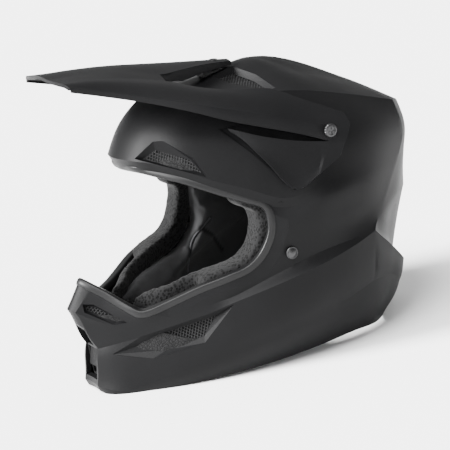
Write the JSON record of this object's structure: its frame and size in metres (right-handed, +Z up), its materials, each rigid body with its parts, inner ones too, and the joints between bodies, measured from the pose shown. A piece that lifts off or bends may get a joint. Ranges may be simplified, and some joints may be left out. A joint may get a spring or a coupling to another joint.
{
  "type": "off-road helmet",
  "caption": "Full-face off-road helmet with a long peak, open eye port, vented chin bar, foam and fabric liner and a strap with rings.",
  "frame": {"origin": "middle of the box that holds the helmet, at the table it stands on", "axes": "+Z up, the face looks along -Y, +X is the wearer's left"},
  "size_m": [0.241, 0.347, 0.2838],
  "materials": {
    "shell_paint": "matt black lacquer on moulded fibre or plastic",
    "visor_plastic": "matt black moulded plastic",
    "trim_rubber": "satin black rubber",
    "vent_mesh": "black moulded mesh",
    "impact_foam": "black expanded foam beads",
    "liner_fabric": "dark grey brushed and perforated knit over soft foam",
    "insert_brass": "turned brass",
    "webbing": "woven black webbing",
    "dark_plastic": "moulded black plastic",
    "plated_steel": "zinc plated and satin"
  },
  "bodies": {
    "helmet": {"outer_shell": "shell_paint", "eyeport_trim": "trim_rubber", "lower_rim_trim": "trim_rubber", "breath_guard": "trim_rubber", "mouth_vent_frame": "dark_plastic", "mouth_vent_mesh": "vent_mesh", "chin_vent_mesh_left": "vent_mesh", "chin_vent_mesh_right": "vent_mesh", "chin_slit_mesh_left": "vent_mesh", "chin_slit_mesh_right": "vent_mesh", "brow_vent_mesh_left": "vent_mesh", "brow_vent_mesh_right": "vent_mesh", "crown_vent_mesh_left": "vent_mesh", "crown_vent_mesh_right": "vent_mesh", "rear_vent_mesh_left": "vent_mesh", "rear_vent_mesh_right": "vent_mesh", "eps_liner": "impact_foam", "chin_bar_eps": "impact_foam", "comfort_liner": "liner_fabric", "neck_roll": "liner_fabric", "cheek_pad_left": "liner_fabric", "cheek_pad_right": "liner_fabric", "shell_insert_left": "insert_brass", "shell_insert_right": "insert_brass", "visor_centre_bracket": "dark_plastic", "strap_anchor_left": "plated_steel", "strap_anchor_right": "plated_steel", "strap_rivet_left": "plated_steel", "strap_rivet_right": "plated_steel", "strap_sleeve_left": "liner_fabric", "strap_sleeve_right": "liner_fabric", "chin_strap_left": "webbing", "chin_strap_right": "webbing", "d_ring_loop": "webbing", "strap_snap": "dark_plastic"},
    "peak": {"visor": "visor_plastic", "visor_centre_nut": "insert_brass"},
    "side_screw_left": {"visor_side_screw_left": "plated_steel"},
    "side_screw_right": {"visor_side_screw_right": "plated_steel"},
    "centre_screw": {"visor_centre_screw": "dark_plastic"},
    "d_ring_outer": {"d_ring_outer": "plated_steel"},
    "d_ring_inner": {"d_ring_inner": "plated_steel"}
  },
  "joints": [
    {"name": "visor_tilt", "type": "hinge", "parent": "helmet", "child": "peak", "pos_m": [0, 0.0475, 0.1988], "axis": [-1, 0, 0], "range_deg": [-2, 4]},
    {"name": "side_screw_left_turn", "type": "hinge", "parent": "helmet", "child": "side_screw_left", "pos_m": [0.11, 0.0475, 0.1988], "axis": [1, 0, 0], "continuous": true},
    {"name": "side_screw_right_turn", "type": "hinge", "parent": "helmet", "child": "side_screw_right", "pos_m": [-0.11, 0.0475, 0.1988], "axis": [-1, 0, 0], "continuous": true},
    {"name": "centre_screw_turn", "type": "hinge", "parent": "peak", "child": "centre_screw", "pos_m": [0, 0.0035, 0.26], "axis": [0, 0, 1], "continuous": true},
    {"name": "d_ring_outer_swing", "type": "hinge", "parent": "helmet", "child": "d_ring_outer", "pos_m": [-0.05, -0.0035, 0.0182], "axis": [0, 1, 0], "range_deg": [0, 1.2]},
    {"name": "d_ring_inner_swing", "type": "hinge", "parent": "helmet", "child": "d_ring_inner", "pos_m": [-0.05, -0.0035, 0.023], "axis": [0, -1, 0], "range_deg": [0, 1.2]}
  ]
}
